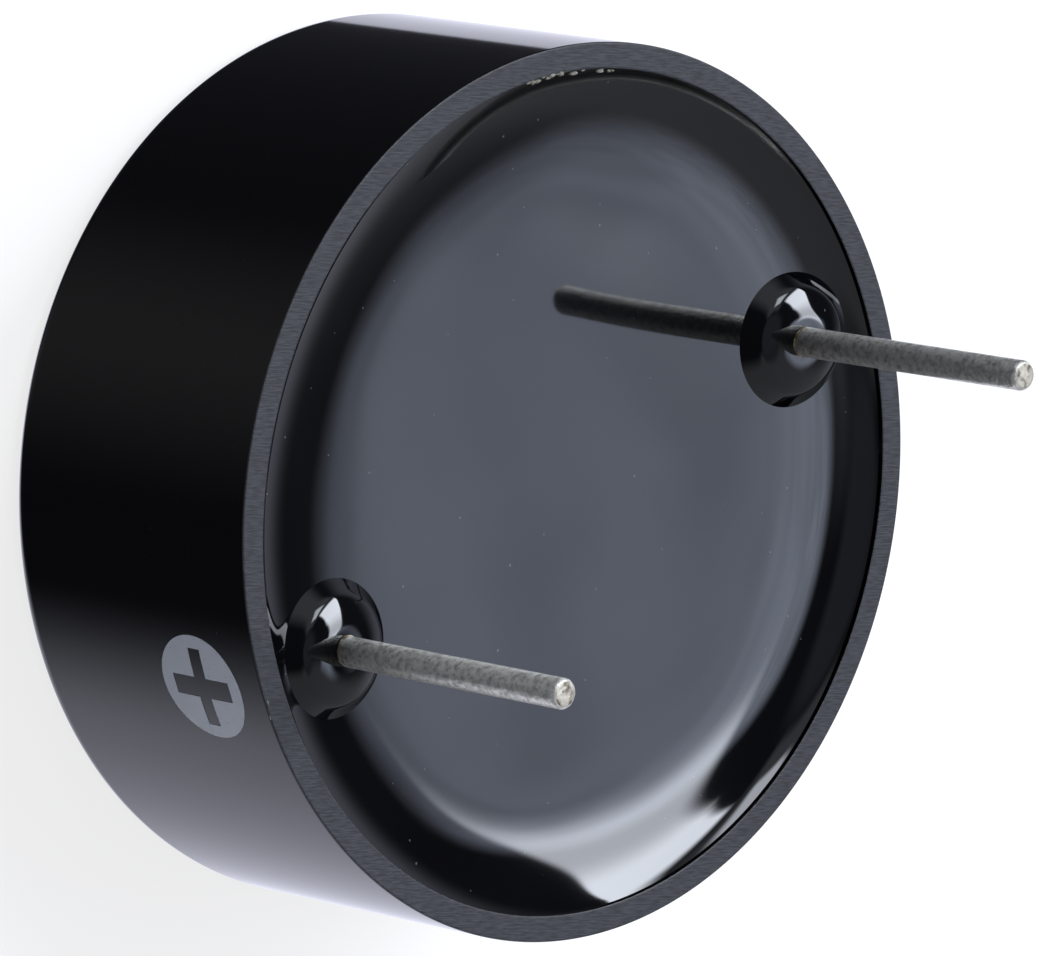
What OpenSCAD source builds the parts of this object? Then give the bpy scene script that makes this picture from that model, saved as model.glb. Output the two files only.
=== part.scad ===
// Potted piezo buzzer with its own drive circuit. It stands on its sound face with the pins up,
// and the origin is the middle of that face.

/* [Case] */
// Outer diameter of the moulded cup
case_d = 23.5; // [22:0.1:28]
// Height of the cup, from the sound face to the rim
case_h = 9; // [8.2:0.1:12]
// Wall thickness at the rim
rim_wall = 0.7; // [0.5:0.05:0.9]
// Thickness of the sound face
face_t = 0.9; // [0.7:0.05:1.1]
// Rounding of the outer edge at the sound face
edge_r = 0.5; // [0.2:0.05:0.6]
// Diameter of the sound hole
sound_hole_d = 3; // [1.5:0.1:4]
// Chamfer on the outer edge of the sound hole
hole_chamfer = 0.25; // [0.1:0.05:0.4]
// Depth of the sound cavity in front of the diaphragm
cavity_h = 1.7; // [1:0.1:2]
// Width of the shoulder that carries the circuit board
shoulder_w = 0.8; // [0.6:0.05:1]
// Width of the key rib that sets the board's angle
key_w = 1.6; // [1:0.1:2.5]
// How far the key rib stands in from the wall
key_d = 0.6; // [0.4:0.05:0.75]

/* [Potting] */
// Depth of the flat epoxy below the rim
potting_recess = 0.7; // [0.6:0.05:1]
// Height to which the epoxy creeps up the wall
creep_h = 0.55; // [0.3:0.05:0.58]
// Width of the creep at the wall
creep_w = 1.8; // [1.2:0.1:2.4]
// Height of the epoxy mound round a pin
mound_h = 0.52; // [0.4:0.02:0.56]
// Radius of the round top of a mound
mound_top_r = 1.35; // [1:0.05:1.6]
// Width of the hollow skirt of a mound
mound_skirt_w = 0.7; // [0.5:0.05:1]
// Thickness of the epoxy over the circuit board
potting_t = 1.1; // [0.9:0.1:1.4]

/* [Pins] */
// Distance from the bore at the rim to the middle of a pin
pin_inset = 2.3; // [2.2:0.1:3]
// Diameter of a pin over its tin
pin_d = 0.8; // [0.5:0.05:1]
// Thickness of the tin, which starts level with the rim
tin_t = 0.05; // [0.02:0.01:0.08]
// Length of a pin above the rim
pin_stand = 8; // [3:0.5:12]
// Length of a pin below the board
pin_tail = 0.6; // [0.4:0.1:1]
// Rounding of the cut end of a pin
pin_tip_r = 0.12; // [0.05:0.01:0.2]
// Height of the solder joint on the board
joint_h = 0.8; // [0.5:0.05:0.9]
// Width of the solder joint round a pin
joint_w = 0.75; // [0.5:0.05:0.8]

/* [Sounder] */
// Gap between the edge of the disc and the case
disc_gap = 0.25; // [0.1:0.05:0.4]
// Width of the seat under the edge of the disc
seat_w = 1.2; // [0.8:0.1:1.6]
// Thickness of the brass disc
brass_t = 0.2; // [0.15:0.01:0.3]
// Bare brass round the ceramic disc
brass_edge = 3; // [2.6:0.1:3.6]
// Thickness of the ceramic disc
ceramic_t = 0.2; // [0.15:0.01:0.3]
// Bare edge of the ceramic round the silver
silver_edge = 0.6; // [0.4:0.05:0.8]
// Thickness of the silver layer
silver_t = 0.04; // [0.02:0.01:0.06]
// Width of the feedback tongue
tongue_w = 2.6; // [2.2:0.1:3]
// Length of the feedback tongue
tongue_l = 3.4; // [3:0.1:4]
// Gap between the feedback tongue and the main electrode
tongue_gap = 0.4; // [0.3:0.05:0.6]
// Size of the sealing bead on the edge of the disc
bead_w = 1.05; // [0.8:0.05:1.2]

/* [Circuit] */
// Thickness of the circuit board
board_t = 0.8; // [0.6:0.1:1]
// Gap between the board's edge and the case
board_gap = 0.15; // [0.1:0.05:0.25]
// Gap between a pin and its hole in the board
hole_gap = 0.1; // [0.05:0.05:0.2]
// Thickness of the copper
copper_t = 0.05; // [0.03:0.01:0.08]
// Width of a copper track
track_w = 0.4; // [0.3:0.05:0.5]
// Length of a chip resistor or chip capacitor
chip_l = 2; // [1.6:0.1:2.2]
// Width of a chip resistor or chip capacitor
chip_w = 1.25; // [1:0.05:1.4]
// Height of a chip resistor
resistor_h = 0.5; // [0.4:0.05:0.7]
// Height of the chip capacitor
capacitor_h = 0.9; // [0.6:0.05:1.2]
// Length of a chip's end cap
chip_cap = 0.35; // [0.25:0.05:0.45]
// Diameter of the diode's end caps
diode_d = 1.4; // [1.2:0.05:1.6]
// Length of the diode over its end caps
diode_l = 3.4; // [3:0.1:3.6]
// Length of a diode's end cap
diode_cap = 0.5; // [0.4:0.05:0.6]
// Amount by which the diode's glass is thinner than its caps
diode_step = 0.1; // [0.05:0.05:0.2]
// Length of the transistor's body
transistor_l = 2.9; // [2.7:0.05:3.1]
// Width of the transistor's body
transistor_w = 1.3; // [1.2:0.05:1.5]
// Height of the transistor's body
transistor_h = 1; // [0.8:0.05:1.2]
// Slope of the transistor's moulded sides
transistor_slope = 0.08; // [0.05:0.01:0.12]
// Width of a transistor lead
gull_w = 0.4; // [0.3:0.05:0.5]
// Thickness of a transistor lead
gull_t = 0.12; // [0.1:0.01:0.16]
// Reach of a transistor lead out of the body
gull_reach = 0.55; // [0.45:0.05:0.6]
// Length of a transistor lead's foot
gull_foot = 0.3; // [0.2:0.05:0.35]
// Distance between the two leads on one side of the transistor
gull_pitch = 1.9; // [1.8:0.05:2]
// Diameter of the inductor's drum
drum_d = 4; // [3.4:0.1:4.4]
// Gap between the inductor's drum and the silver
drum_gap = 0.5; // [0.3:0.1:1]
// Diameter of the drum's post
drum_post_d = 1.8; // [1.4:0.1:2.2]
// Thickness of the drum's flanges
drum_flange = 0.4; // [0.3:0.05:0.5]
// Depth of the winding below the edge of the flanges
coil_depth = 0.2; // [0.1:0.05:0.3]
// Diameter of the winding's wire
coil_wire_d = 0.2; // [0.15:0.01:0.25]
// Thickness of the inductor's terminals
terminal_t = 0.15; // [0.1:0.05:0.2]

/* [Leads] */
// Diameter of a lead's core
core_d = 0.28; // [0.2:0.02:0.32]
// Diameter of a lead's insulation
sleeve_d = 0.56; // [0.5:0.02:0.7]
// Gap between a lead's insulation and its solder joints
sleeve_gap = 0.1; // [0.05:0.05:0.3]
// Radius of a solder joint on the disc or under the board
blob_r = 0.7; // [0.5:0.05:0.8]
// Height of a solder joint on the disc or under the board
blob_h = 0.5; // [0.45:0.05:0.6]
// Solder under a lead's core
core_lift = 0.08; // [0.05:0.01:0.1]

/* [Hidden] */
$fn = 72;

// Radii of the cup's stepped bore, from the rim down to the sound cavity
case_r = case_d / 2;
rim_r = case_r - rim_wall;
bore_r = rim_r - shoulder_w;
disc_r = bore_r - disc_gap;
cavity_r = disc_r - seat_w;
hole_r = sound_hole_d / 2;

// Heights of the sounder, from the seat of its disc up
seat_z = face_t + cavity_h;
disc_top = seat_z + brass_t;
ceramic_top = disc_top + ceramic_t;
silver_top = ceramic_top + silver_t;

// Heights of the circuit, from the flat epoxy down, and of the pins
potting_z = case_h - potting_recess;
board_top = potting_z - potting_t;
board_z = board_top - board_t;
copper_z = board_z - copper_t;
drum_h = copper_z - terminal_t - drum_gap - silver_top;
pin_low = board_z - pin_tail;
pin_top = case_h + pin_stand;

// Radii on the disc and the board
ceramic_r = disc_r - brass_edge;
silver_r = ceramic_r - silver_edge;
bead_r = bore_r - bead_w;
board_r = rim_r - board_gap;
pin_r = pin_d / 2;
wire_r = pin_r - tin_t;
pin_x = rim_r - pin_inset;
pin_hole_r = wire_r + hole_gap;
joint_r = wire_r + joint_w;
// Copper outside a solder joint, and outside the seat of a part
land_ring = 0.35;
land_margin = 0.1;
land_r = joint_r + land_ring;
copper_edge_r = bore_r - land_margin;
blob_land_r = blob_r + land_margin;
core_r = core_d / 2;
sleeve_r = sleeve_d / 2;
edge_steps = 8;

// Small steps by which a curve is let into the surface it runs out on, so that it meets it at an angle
creep_dip = 0.01;
skirt_dip = 0.015;
solder_edge = 0.08;

// Places under the board, seen from the pin side: each outer part lies a stated way in from the
// board's edge, at its own bearing
function inward(r, in, bearing) = (r - in) * [cos(bearing), sin(bearing)];
red_at = inward(silver_r, 1.85, 142);
blue_at = [silver_r - tongue_l / 2, 0];
black_at = [0, -(ceramic_r + bead_r) / 2];
red_turn = 180;
blue_turn = 0;
black_turn = 0;
transistor_at = [0.3, 3.4];
inductor_at = [-1.6, -3.2];
diode_at = inward(board_r, 3.2, 32);
capacitor_at = inward(board_r, 5.1, -55);
// Place of each resistor, and the angle that it is turned by
resistors = [
    [inward(board_r, 3.8, 201), 90], [inward(board_r, 3.5, 111), 0], [inward(board_r, 3.4, 66), 0]
];
lands_l = 0.8;
chip_land_x = chip_l / 2 - chip_cap / 2;
diode_land_x = diode_l / 2 - diode_cap / 2;
gull_out = transistor_w / 2 + gull_reach;
gull_land_y = gull_out - gull_foot / 2;
terminal_w = 1.1;
terminal_x = drum_d / 2 - terminal_w / 2;
terminal_l = 2.4;
land_grow = 0.2;

function arc_points(c, r, from, to, steps) =
    [for (i = [0 : steps]) let (a = from + (to - from) * i / steps) c + r * [cos(a), sin(a)]];
function turned(p, a) = [p[0] * cos(a) - p[1] * sin(a), p[0] * sin(a) + p[1] * cos(a)];
function on_part(at, p, a = 0) = at + turned(p, a);

// Ends of the parts that the tracks join
diode_top_land = on_part(diode_at, [diode_land_x, 0], 90);
diode_low_land = on_part(diode_at, [-diode_land_x, 0], 90);
collector_land = transistor_at + [0, gull_land_y];
base_land = transistor_at + [-gull_pitch / 2, -gull_land_y];
emitter_land = transistor_at + [gull_pitch / 2, -gull_land_y];
function resistor_land(i, end) = on_part(resistors[i][0], [end * chip_land_x, 0], resistors[i][1]);
function capacitor_land(end) = capacitor_at + [end * chip_land_x, 0];
function inductor_land(end) = inductor_at + [end * terminal_x, 0];
TRACKS = [
    [[pin_x, 0], diode_top_land],
    [diode_low_land, resistor_land(2, 1)],
    [resistor_land(2, -1), collector_land],
    [resistor_land(1, 1), base_land],
    [resistor_land(1, -1), red_at],
    [emitter_land, inductor_land(1)],
    [blue_at, capacitor_land(1)],
    [black_at, capacitor_land(-1)],
    [[-pin_x, 0], resistor_land(0, 1)],
    [resistor_land(0, -1), inductor_land(-1)]
];

// Moulded cup: sound face, seat for the disc, shoulder for the board, thin rim and key rib

module case_profile() {
    polygon(concat(
        [[hole_r + hole_chamfer, 0]],
        arc_points([case_r - edge_r, edge_r], edge_r, -90, 0, edge_steps),
        [
            [case_r, case_h], [rim_r, case_h], [rim_r, board_z], [bore_r, board_z],
            [bore_r, seat_z], [cavity_r, seat_z], [cavity_r, face_t], [hole_r, face_t],
            [hole_r, hole_chamfer]
        ]
    ));
}

module key_rib(gap = 0) {
    depth = key_d + gap;
    translate([-key_w / 2 - gap, rim_r - depth, board_z])
        cube([key_w + 2 * gap, depth + rim_wall / 2, board_t]);
}

module case() {
    color("#15151a")
    union() {
        rotate_extrude() case_profile();
        key_rib();
    }
}

// Sounder: brass disc, ceramic, split silver electrode and sealing bead

module diaphragm() {
    color("#c9a14a")
    translate([0, 0, seat_z]) cylinder(r = disc_r, h = brass_t);
}

module piezo_ceramic() {
    color("#d8d2c2")
    translate([0, 0, disc_top]) cylinder(r = ceramic_r, h = ceramic_t);
}

module tongue_outline(gap = 0) {
    translate([silver_r - tongue_l - gap, -tongue_w / 2 - gap])
        square([tongue_l + ceramic_r, tongue_w + 2 * gap]);
}

module main_electrode() {
    color("#c4c7c9")
    translate([0, 0, ceramic_top]) linear_extrude(silver_t)
        difference() {
            circle(silver_r);
            tongue_outline(tongue_gap);
        }
}

module feedback_electrode() {
    color("#c4c7c9")
    translate([0, 0, ceramic_top]) linear_extrude(silver_t)
        intersection() {
            circle(silver_r);
            tongue_outline();
        }
}

module diaphragm_seal() {
    color("#e9e9e4")
    rotate_extrude() {
        intersection() {
            translate([bore_r, disc_top]) circle(bead_w);
            translate([bead_r, disc_top]) square(bead_w);
        }
        translate([disc_r, seat_z]) square([disc_gap, brass_t]);
    }
}

// Circuit board and its copper

module board_outline() {
    difference() {
        circle(board_r);
        translate([-key_w / 2 - board_gap, rim_r - key_d - board_gap])
            square([key_w + 2 * board_gap, key_d + board_gap]);
    }
}

module circuit_board() {
    color("#2f6b3a")
    translate([0, 0, board_z]) linear_extrude(board_t)
        difference() {
            board_outline();
            for (side = [-1, 1]) translate([side * pin_x, 0]) circle(pin_hole_r);
        }
}

module track(from, to) {
    run = to - from;
    translate(from) rotate(atan2(run[1], run[0]))
        translate([0, -track_w / 2]) square([norm(run), track_w]);
}

module land(at, size, a = 0) {
    translate(at) rotate(a) square(size, center = true);
}

module lands() {
    for (side = [-1, 1]) translate([side * pin_x, 0]) circle(land_r);
    for (at = [red_at, blue_at, black_at]) translate(at) circle(blob_land_r);
    for (r = resistors) for (end = [-1, 1])
        land(on_part(r[0], [end * chip_land_x, 0], r[1]), [lands_l, chip_w + land_grow], r[1]);
    for (end = [-1, 1]) {
        land(capacitor_land(end), [lands_l, chip_w + land_grow]);
        land(inductor_land(end), [terminal_w, terminal_l + land_grow]);
    }
    for (at = [diode_top_land, diode_low_land]) land(at, [diode_d + land_grow, lands_l]);
    for (at = [collector_land, base_land, emitter_land]) land(at, [gull_w + land_grow, lands_l]);
}

module board_copper() {
    color("#b87333")
    union() {
        translate([0, 0, copper_z]) linear_extrude(copper_t)
            difference() {
                intersection() {
                    union() {
                        lands();
                        for (t = TRACKS) track(t[0], t[1]);
                    }
                    circle(copper_edge_r);
                }
                for (side = [-1, 1]) translate([side * pin_x, 0]) circle(pin_hole_r);
            }
        for (side = [-1, 1]) translate([side * pin_x, 0, board_top]) linear_extrude(copper_t)
            difference() {
                circle(land_r);
                circle(pin_hole_r);
            }
    }
}

// Parts on the underside of the board: each hangs from the copper

module under(at, a = 0) {
    translate([at[0], at[1], copper_z]) rotate(a) mirror([0, 0, 1]) children();
}

module drafted_block(l, w, h, slope) {
    intersection() {
        translate([0, w / 2, 0]) rotate([90, 0, 0]) linear_extrude(w)
            polygon([[-l / 2, 0], [l / 2, 0], [l / 2 - slope, h], [-l / 2 + slope, h]]);
        translate([-l / 2, 0, 0]) rotate([90, 0, 90]) linear_extrude(l)
            polygon([[-w / 2, 0], [w / 2, 0], [w / 2 - slope, h], [-w / 2 + slope, h]]);
    }
}

module transistor_body() {
    color("#202022")
    under(transistor_at) translate([0, 0, gull_t / 2])
        drafted_block(transistor_l, transistor_w, transistor_h, transistor_slope);
}

// Side view of one lead, from the body out and down to its foot
module gull_lead() {
    mid = gull_t / 2 + transistor_h / 2;
    in_y = transistor_w / 2 - transistor_slope / 2;
    knee_y = gull_out - gull_foot;
    translate([-gull_w / 2, 0, 0]) rotate([90, 0, 90]) linear_extrude(gull_w)
        polygon([
            [in_y, mid], [knee_y - gull_t, mid], [knee_y - gull_t, 0], [gull_out, 0],
            [gull_out, gull_t], [knee_y, gull_t], [knee_y, mid + gull_t], [in_y, mid + gull_t]
        ]);
}

module transistor_leads() {
    color("#b9bcbf")
    difference() {
        under(transistor_at) {
            gull_lead();
            for (side = [-1, 1]) translate([side * gull_pitch / 2, 0, 0]) rotate(180) gull_lead();
        }
        transistor_body();
    }
}

module chip_body(h) {
    length = chip_l - 2 * chip_cap;
    translate([-length / 2, -chip_w / 2, 0]) cube([length, chip_w, h]);
}

module chip_end_caps(h) {
    for (side = [0, 1]) mirror([side, 0, 0])
        translate([chip_l / 2 - chip_cap, -chip_w / 2, 0]) cube([chip_cap, chip_w, h]);
}

module resistor_bodies() {
    color("#1c1c1e")
    for (r = resistors) under(r[0], r[1]) chip_body(resistor_h);
}

module resistor_end_caps() {
    color("#c8cacc")
    for (r = resistors) under(r[0], r[1]) chip_end_caps(resistor_h);
}

module capacitor_body() {
    color("#9a7448")
    under(capacitor_at) chip_body(capacitor_h);
}

module capacitor_end_caps() {
    color("#c8cacc")
    under(capacitor_at) chip_end_caps(capacitor_h);
}

module diode_barrel(r, from, to) {
    translate([from, 0, diode_d / 2]) rotate([0, 90, 0]) cylinder(r = r, h = to - from);
}

module diode_glass() {
    color("#c8562a")
    under(diode_at, 90)
        diode_barrel(diode_d / 2 - diode_step, -diode_l / 2 + diode_cap, diode_l / 2 - diode_cap);
}

module diode_caps() {
    color("#b9bcbf")
    under(diode_at, 90) {
        diode_barrel(diode_d / 2, -diode_l / 2, -diode_l / 2 + diode_cap);
        diode_barrel(diode_d / 2, diode_l / 2 - diode_cap, diode_l / 2);
    }
}

module inductor_core() {
    r = drum_d / 2;
    post_r = drum_post_d / 2;
    color("#3a3a3d")
    under(inductor_at) translate([0, 0, terminal_t]) rotate_extrude()
        polygon([
            [0, 0], [r, 0], [r, drum_flange], [post_r, drum_flange],
            [post_r, drum_h - drum_flange], [r, drum_h - drum_flange], [r, drum_h], [0, drum_h]
        ]);
}

module inductor_coil() {
    room = drum_h - 2 * drum_flange;
    turns = floor(room / coil_wire_d);
    step = room / turns;
    turn_r = step * 0.52;
    outer = drum_d / 2 - coil_depth - turn_r;
    post_r = drum_post_d / 2;
    color("#b5652f")
    under(inductor_at) translate([0, 0, terminal_t + drum_flange]) rotate_extrude()
        intersection() {
            union() {
                square([outer, room]);
                for (i = [0 : turns - 1]) translate([outer, (i + 0.5) * step]) circle(turn_r);
            }
            translate([post_r, 0]) square([drum_d / 2 - post_r, room]);
        }
}

module inductor_terminals() {
    color("#c8cacc")
    under(inductor_at) for (side = [-1, 1])
        translate([side * terminal_x, 0, terminal_t / 2])
            cube([terminal_w, terminal_l, terminal_t], center = true);
}

// Leads: half rings between the disc and the board, bare and soldered at both ends

function bend(low_z) = (copper_z - low_z) / 2 - core_r - core_lift;
// Angle over which a lead keeps its insulation, clear of the joints at both ends
function sleeve_angle(low_z) =
    2 * asin(((copper_z - low_z) / 2 - blob_h - sleeve_gap) / (bend(low_z) + sleeve_r));

module half_ring(at, turn, low_z, bore, outer, span) {
    translate([at[0], at[1], (copper_z + low_z) / 2]) rotate(turn) rotate([90, 0, 0])
        rotate_extrude(angle = span, start = -span / 2) translate([bend(low_z), 0])
            difference() {
                circle(outer);
                if (bore > 0) circle(bore);
            }
}

module sleeve(at, turn, low_z) {
    half_ring(at, turn, low_z, core_r, sleeve_r, sleeve_angle(low_z));
}

module core(at, turn, low_z) {
    half_ring(at, turn, low_z, 0, core_r, 180);
}

module lead_red() {
    color("#b3261e") sleeve(red_at, red_turn, silver_top);
}

module lead_black() {
    color("#1a1a1a") sleeve(black_at, black_turn, disc_top);
}

module lead_blue() {
    color("#2a4f9e") sleeve(blue_at, blue_turn, silver_top);
}

module lead_cores() {
    color("#c98a5a")
    union() {
        core(red_at, red_turn, silver_top);
        core(blue_at, blue_turn, silver_top);
        core(black_at, black_turn, disc_top);
    }
}

module blob() {
    round_r = (blob_r * blob_r + blob_h * blob_h) / (2 * blob_h);
    rotate_extrude() intersection() {
        translate([0, blob_h - round_r]) circle(round_r);
        square([blob_r, blob_h]);
    }
}

module disc_solder() {
    color("#a9adb1")
    difference() {
        union() {
            for (at = [red_at, blue_at]) translate([at[0], at[1], silver_top]) blob();
            translate([black_at[0], black_at[1], disc_top]) blob();
        }
        lead_cores();
    }
}

module board_solder() {
    color("#a9adb1")
    difference() {
        for (at = [red_at, blue_at, black_at]) under(at) blob();
        lead_cores();
    }
}

// Pins, bare wire in the epoxy and tinned above it, and their solder

module pin(x) {
    translate([x, 0, 0]) rotate_extrude() polygon(concat(
        [[0, pin_top]],
        arc_points([pin_r - pin_tip_r, pin_top - pin_tip_r], pin_tip_r, 90, 0, edge_steps),
        [[pin_r, case_h + tin_t], [wire_r, case_h], [wire_r, pin_low], [0, pin_low]]
    ));
}

module pin_positive() {
    color("#9c9a8e") pin(pin_x);
}

module pin_negative() {
    color("#9c9a8e") pin(-pin_x);
}

// Section of a solder fillet: a foot on the copper with a hollow rise to the pin
module fillet_section(h) {
    difference() {
        square([joint_r, solder_edge + h]);
        translate([joint_r, solder_edge + h]) circle(min(h, joint_w - solder_edge));
    }
}

module joint_section() {
    translate([0, board_top + copper_t]) fillet_section(joint_h);
    translate([0, copper_z]) square([pin_hole_r, board_t + 2 * copper_t]);
    translate([0, copper_z]) mirror([0, 1]) fillet_section(pin_tail / 2);
}

module pin_solder() {
    color("#a9adb1")
    for (side = [-1, 1]) translate([side * pin_x, 0, 0]) rotate_extrude()
        difference() {
            joint_section();
            square([wire_r, case_h]);
        }
}

// Epoxy fill: flat middle, creep up the wall and a mound round each pin

module potting_section() {
    rise_r = (creep_w * creep_w + creep_h * creep_h) / (2 * creep_h);
    start_r = rim_r - creep_w;
    translate([0, board_z]) square([rim_r, potting_z - board_z]);
    difference() {
        translate([start_r, board_top]) square([creep_w, potting_z + creep_h - board_top]);
        translate([start_r, potting_z + rise_r - creep_dip]) circle(rise_r);
    }
}

module mound_section() {
    low = potting_z - mound_h;
    slope = 2 * atan(mound_h / (mound_top_r + mound_skirt_w)) * 1.05;
    top_r = mound_top_r / sin(slope);
    skirt_r = mound_skirt_w / sin(slope);
    end_r = mound_top_r + mound_skirt_w;
    intersection() {
        translate([0, potting_z + mound_h - top_r]) circle(top_r);
        translate([0, low]) square([end_r, potting_z + mound_h - low]);
    }
    difference() {
        translate([0, low]) square([end_r, mound_h + skirt_r * (1 - cos(slope))]);
        translate([end_r, potting_z + skirt_r - skirt_dip]) circle(skirt_r);
    }
}

module mound(x) {
    intersection() {
        translate([x, 0, 0]) rotate_extrude() mound_section();
        cylinder(r = rim_r, h = case_h);
    }
}

module potting() {
    color("#101216")
    difference() {
        union() {
            rotate_extrude() potting_section();
            mound(pin_x);
            mound(-pin_x);
        }
        translate([0, 0, board_z]) linear_extrude(board_t) board_outline();
        key_rib();
        for (side = [-1, 1]) translate([side * pin_x, 0, board_top]) cylinder(r = land_r, h = copper_t);
        pin_solder();
        pin(pin_x);
        pin(-pin_x);
    }
}

case();
diaphragm();
piezo_ceramic();
main_electrode();
feedback_electrode();
diaphragm_seal();
circuit_board();
board_copper();
transistor_body();
transistor_leads();
resistor_bodies();
resistor_end_caps();
capacitor_body();
capacitor_end_caps();
diode_glass();
diode_caps();
inductor_core();
inductor_coil();
inductor_terminals();
lead_red();
lead_black();
lead_blue();
lead_cores();
disc_solder();
board_solder();
pin_positive();
pin_negative();
pin_solder();
potting();
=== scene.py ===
import logging
import math
import random
from dataclasses import dataclass, field
from enum import Enum
from typing import Any

import bmesh
import bpy
from mathutils import Matrix, Vector


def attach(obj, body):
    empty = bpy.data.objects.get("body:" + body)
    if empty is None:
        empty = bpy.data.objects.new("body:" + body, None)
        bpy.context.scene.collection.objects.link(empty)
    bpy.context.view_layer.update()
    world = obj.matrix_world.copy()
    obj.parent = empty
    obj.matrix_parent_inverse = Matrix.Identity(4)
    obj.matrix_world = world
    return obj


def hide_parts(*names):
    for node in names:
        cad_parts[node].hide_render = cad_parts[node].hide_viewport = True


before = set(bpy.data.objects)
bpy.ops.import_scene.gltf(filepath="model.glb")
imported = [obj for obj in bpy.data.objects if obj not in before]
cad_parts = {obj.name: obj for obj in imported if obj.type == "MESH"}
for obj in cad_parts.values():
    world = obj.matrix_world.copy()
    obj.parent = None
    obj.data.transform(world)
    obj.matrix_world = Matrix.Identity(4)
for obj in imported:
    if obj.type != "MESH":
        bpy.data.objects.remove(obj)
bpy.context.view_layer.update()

logging.basicConfig(level=logging.INFO, format="%(message)s")
log = logging.getLogger("buzzer")

MM = 0.001
BODY = "root"
SEED = 7
MERGE = 1e-7  # how close two points of a mesh lie to be made one, in metres
FINE_MERGE = 1e-8  # the same for the printed film and the united fill
MIX_FIRST, MIX_SECOND, MIXED = 6, 7, 2  # a Mix node's colour inputs and its colour output
Point = tuple[float, float]
Span = tuple[float, float]
Place = tuple[float, float, float]
Edges = tuple[float, float, float, float]


class Look(Enum):
    """How a finish breaks up its colour."""

    BLOTCHES = "blotches"
    WEAVE = "weave"


# Making meshes


def srgb(code: str) -> tuple[float, float, float, float]:
    """Turn a hex colour into linear red, green, blue and an opaque alpha.

    Args:
        code: six hex digits, with or without a leading hash.

    Returns:
        The linear colour that a shader socket takes.
    """
    parts = [int(code.lstrip("#")[i:i + 2], 16) / 255 for i in (0, 2, 4)]
    linear = [p / 12.92 if p <= 0.04045 else ((p + 0.055) / 1.055) ** 2.4 for p in parts]
    return (linear[0], linear[1], linear[2], 1.0)


def deselect_all() -> None:
    """Leave nothing selected and no object active."""
    bpy.ops.object.select_all(action="DESELECT")
    bpy.context.view_layer.objects.active = None


def take_hold(piece: bpy.types.Object) -> None:
    """Make one object the only selected and active one.

    Args:
        piece: the object.
    """
    deselect_all()
    piece.select_set(True)
    bpy.context.view_layer.objects.active = piece


def named(name: str) -> bpy.types.Object:
    """Name the object that an operator has just added, and its mesh.

    Args:
        name: the piece's name.

    Returns:
        The object.
    """
    piece = bpy.context.active_object
    piece.name = name
    piece.data.name = name
    return piece


def settle(piece: bpy.types.Object) -> None:
    """Put a piece's place, turn and scale into its mesh."""
    take_hold(piece)
    bpy.ops.object.transform_apply(location=True, rotation=True, scale=True)


def close_up(piece: bpy.types.Object, reach: float = MERGE) -> None:
    """Merge the doubled points of a piece and point its faces outwards.

    Args:
        piece: the object to mend.
        reach: how close two points must be to merge, in metres.
    """
    take_hold(piece)
    bpy.ops.object.mode_set(mode="EDIT")
    bpy.ops.mesh.select_all(action="SELECT")
    bpy.ops.mesh.remove_doubles(threshold=reach)
    bpy.ops.mesh.normals_make_consistent(inside=False)
    bpy.ops.object.mode_set(mode="OBJECT")


def smooth(piece: bpy.types.Object, angle: float) -> None:
    """Shade a piece smooth, with its edges over the angle in degrees kept sharp."""
    take_hold(piece)
    bpy.ops.object.shade_smooth_by_angle(angle=math.radians(angle))


def spun(
    name: str, outline: list[Point], steps: int, centre: Point = (0.0, 0.0)
) -> bpy.types.Object:
    """Turn an outline round an upright axis, as on a lathe.

    Args:
        name: the piece's name.
        outline: points of radius and height in millimetres, in order, and closed where the
            first and last point lie on the axis or are the same.
        steps: how many steps the turn is made in.
        centre: the place of the axis in millimetres.

    Returns:
        The finished piece, with its faces pointing outwards.
    """
    deselect_all()
    places = [Vector(((centre[0] + r) * MM, centre[1] * MM, z * MM)) for r, z in outline]
    bpy.ops.mesh.primitive_plane_add(size=MM, location=places[0])
    piece = named(name)
    bpy.ops.object.mode_set(mode="EDIT")
    bpy.ops.mesh.select_mode(type="VERT")
    bpy.ops.mesh.select_all(action="SELECT")
    bpy.ops.mesh.merge(type="CENTER")
    for before, after in zip(places, places[1:]):
        bpy.ops.mesh.extrude_region_move(TRANSFORM_OT_translate={"value": after - before})
    bpy.ops.mesh.select_all(action="SELECT")
    bpy.ops.mesh.spin(
        steps=steps, angle=2 * math.pi, center=(centre[0] * MM, centre[1] * MM, 0), axis=(0, 0, 1)
    )
    bpy.ops.object.mode_set(mode="OBJECT")
    settle(piece)
    close_up(piece)
    return piece


def arc(centre: Point, radius: float, start: float, stop: float, steps: int) -> list[Point]:
    """List the points of an arc.

    Args:
        centre: the arc's centre in millimetres.
        radius: its radius in millimetres.
        start: the angle of the first point in degrees.
        stop: the angle of the last point in degrees.
        steps: how many straight pieces it has.

    Returns:
        The points, both ends included.
    """
    angles = [math.radians(start + (stop - start) * i / steps) for i in range(steps + 1)]
    return [(centre[0] + radius * math.cos(a), centre[1] + radius * math.sin(a)) for a in angles]


# Making materials


def add_node(
    tree: bpy.types.NodeTree, kind: str, links: dict[str | int, Any] | None = None, **settings: Any
) -> bpy.types.Node:
    """Add a node with its settings, values and links.

    Args:
        tree: the node tree of a material or the world.
        kind: Blender's name for the node.
        links: for each input, a value or the output that feeds it.
        settings: the node's own properties.

    Returns:
        The new node.
    """
    node = tree.nodes.new(kind)
    for key, value in settings.items():
        setattr(node, key, value)
    for key, value in (links or {}).items():
        if isinstance(value, bpy.types.NodeSocket):
            tree.links.new(value, node.inputs[key])
        else:
            node.inputs[key].default_value = value
    return node


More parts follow.
